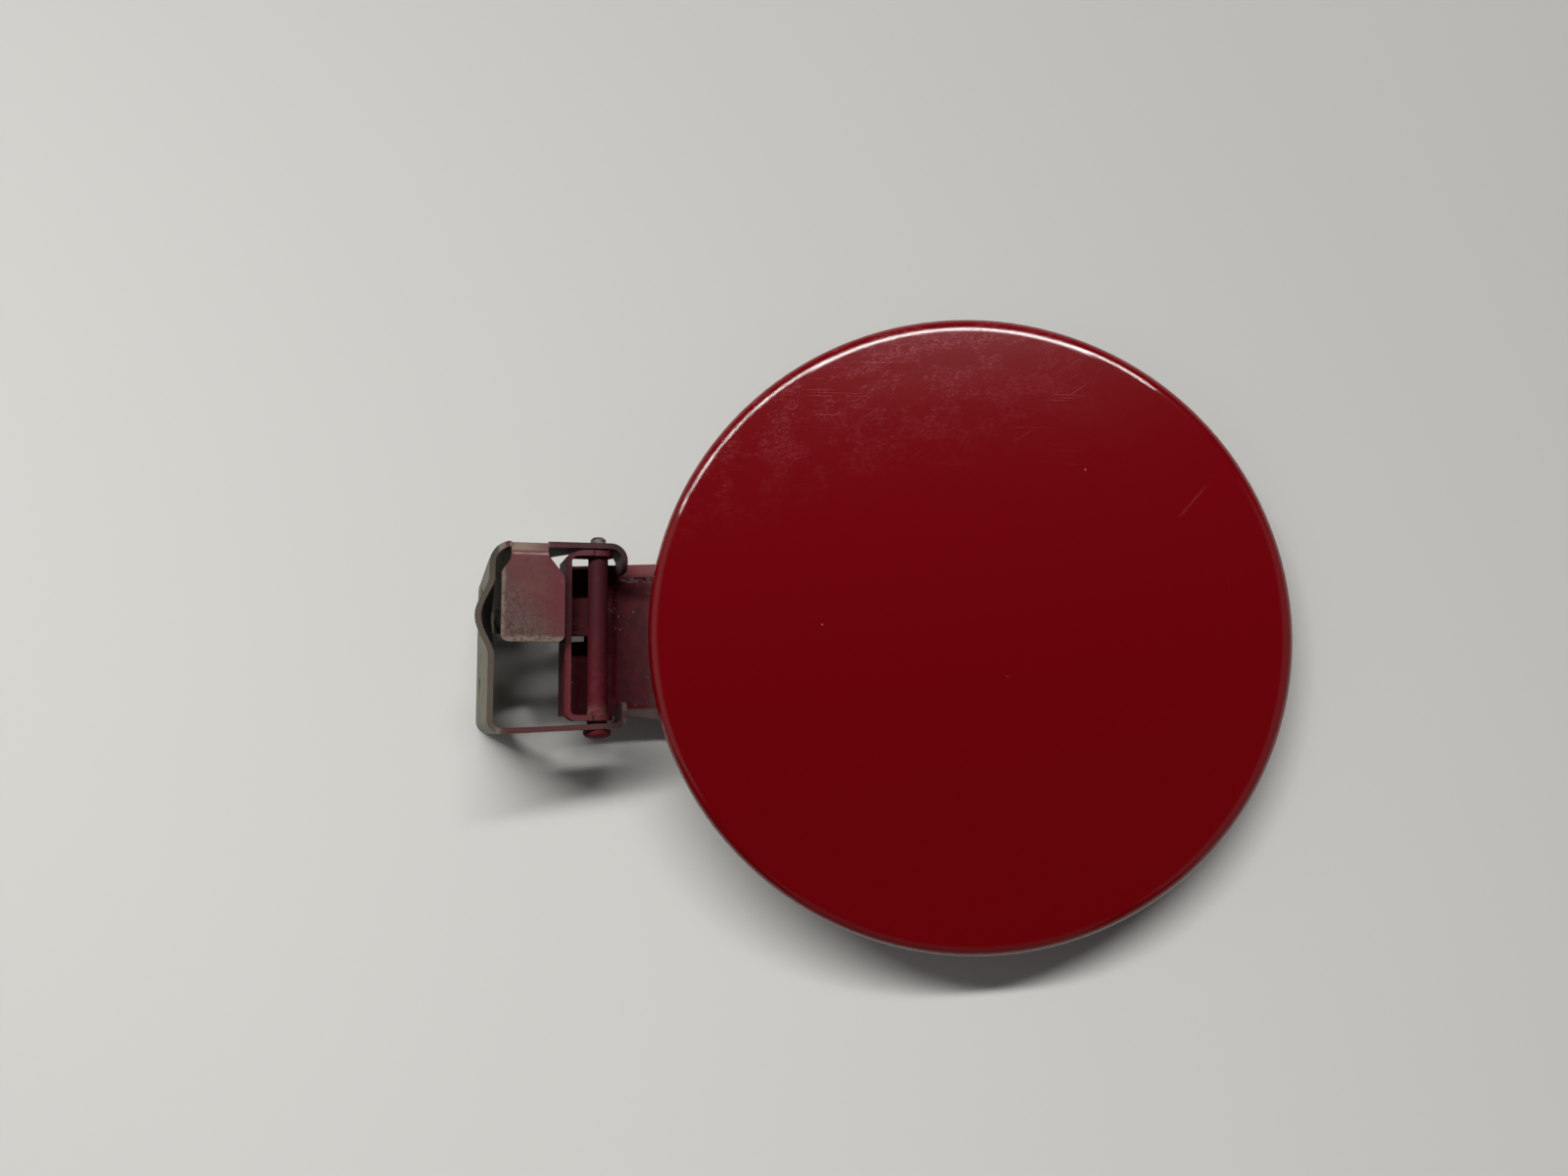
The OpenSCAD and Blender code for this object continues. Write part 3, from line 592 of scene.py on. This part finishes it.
def rest_plane():
    """A point under the bracket and the direction to the catch, where the object touches the table."""
    bracket_low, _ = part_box("hinge_bracket")
    catch_low, catch_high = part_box("latch_catch")
    foot = Vector((bracket_low[0] + FOOT_INSET, 0, bracket_low[2]))
    tip = Vector((catch_high[0], 0, catch_low[2]))
    return foot, (tip - foot).normalized()


def add_table():
    foot, along = rest_plane()
    bpy.ops.mesh.primitive_plane_add(size=TABLE_SIZE)
    table = bpy.context.object
    table.name = "table"
    table.rotation_euler = (0, -math.atan2(along.z, along.x), 0)
    table.location = foot + along * TABLE_SHIFT - Vector((0, 0, TABLE_GAP))
    table.data.materials.append(table_top())


def add_lamp(name, place, size, power, colour):
    """An area lamp of a width and a height in metres and a power in watts, aimed near the hinge."""
    data = bpy.data.lights.new(name, "AREA")
    data.shape = "RECTANGLE"
    data.size, data.size_y = size
    data.energy = power
    data.color = colour
    lamp = bpy.data.objects.new(name, data)
    lamp.location = place
    lamp.rotation_euler = (Vector(place) - LAMP_AIM).to_track_quat("Z", "Y").to_euler()
    bpy.context.scene.collection.objects.link(lamp)


def add_lamps():
    """A long thin lamp high behind the door gives the rim's highlight and the shadows; the rest fill in."""
    add_lamp("key", (-0.10, 0.72, 1.30), (1.7, 0.10), 30.5, (1.0, 0.99, 0.965))
    add_lamp("left_fill", (-1.5, 0.2, 1.1), (2.0, 1.6), 4.5, (1.0, 0.99, 0.97))
    add_lamp("right_fill", (1.6, -0.3, 1.1), (2.0, 1.6), 2.5, (0.97, 0.985, 1.0))
    add_lamp("front_fill", (0.0, -1.6, 1.0), (2.0, 1.6), 1.6, (0.98, 0.99, 1.0))
    add_lamp("under_fill", (0.3, -0.3, -1.0), (1.5, 1.5), 6.0, (1.0, 1.0, 1.0))


def add_room():
    """A dim room whose backdrop looks pale to the camera."""
    world = bpy.data.worlds.new("room")
    world.use_nodes = True
    tree = world.node_tree
    room = tree.nodes["Background"]
    room.inputs["Color"].default_value = ROOM_COLOUR
    seen = tree.nodes.new("ShaderNodeBackground")
    seen.inputs["Color"].default_value = BACKDROP_COLOUR
    path = tree.nodes.new("ShaderNodeLightPath")
    blend = tree.nodes.new("ShaderNodeMixShader")
    sources = (path.outputs["Is Camera Ray"], room.outputs[0], seen.outputs[0])
    for socket, source in zip(blend.inputs, sources):
        tree.links.new(source, socket)
    tree.links.new(blend.outputs[0], tree.nodes["World Output"].inputs["Surface"])
    bpy.context.scene.world = world


def add_camera():
    data = bpy.data.cameras.new("camera")
    data.lens = CAMERA_LENS
    data.sensor_width = CAMERA_SENSOR
    camera = bpy.data.objects.new("camera", data)
    turn = Matrix((CAMERA_RIGHT, CAMERA_UP, CAMERA_BACK)).transposed()
    camera.matrix_world = Matrix.Translation(CAMERA_PLACE) @ turn.to_4x4()
    bpy.context.scene.collection.objects.link(camera)
    bpy.context.scene.camera = camera


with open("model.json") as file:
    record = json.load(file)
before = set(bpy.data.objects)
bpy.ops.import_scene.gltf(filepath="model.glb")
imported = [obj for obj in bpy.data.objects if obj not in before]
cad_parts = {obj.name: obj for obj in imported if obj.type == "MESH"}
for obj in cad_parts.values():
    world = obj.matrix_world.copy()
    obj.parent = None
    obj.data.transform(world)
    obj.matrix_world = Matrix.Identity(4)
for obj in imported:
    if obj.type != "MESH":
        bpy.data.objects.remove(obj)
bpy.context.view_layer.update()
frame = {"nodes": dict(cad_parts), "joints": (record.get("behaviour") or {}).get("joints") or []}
nodes = frame["nodes"]
hinge_place = Vector(frame["joints"][0]["pos_m"])
door_centre = hinge_place + Vector((REACH, 0, 0))

add_camera()
dress(nodes["outer_panel"], body_paint(door_centre))
hidden_red = panel_paint()
dress(nodes["inner_panel"], hidden_red)
dress(nodes["latch_catch"], hidden_red)
dress(nodes["hinge_arm"], arm_paint(hinge_place))
dress(nodes["hinge_bracket"], bracket_paint(hinge_place))
dress(nodes["hinge_pin"], pin_paint(hinge_place))
dress(nodes["rubber_buffer"], rubber())
add_table()
add_lamps()
add_room()
bpy.context.scene.view_settings.view_transform = "Standard"
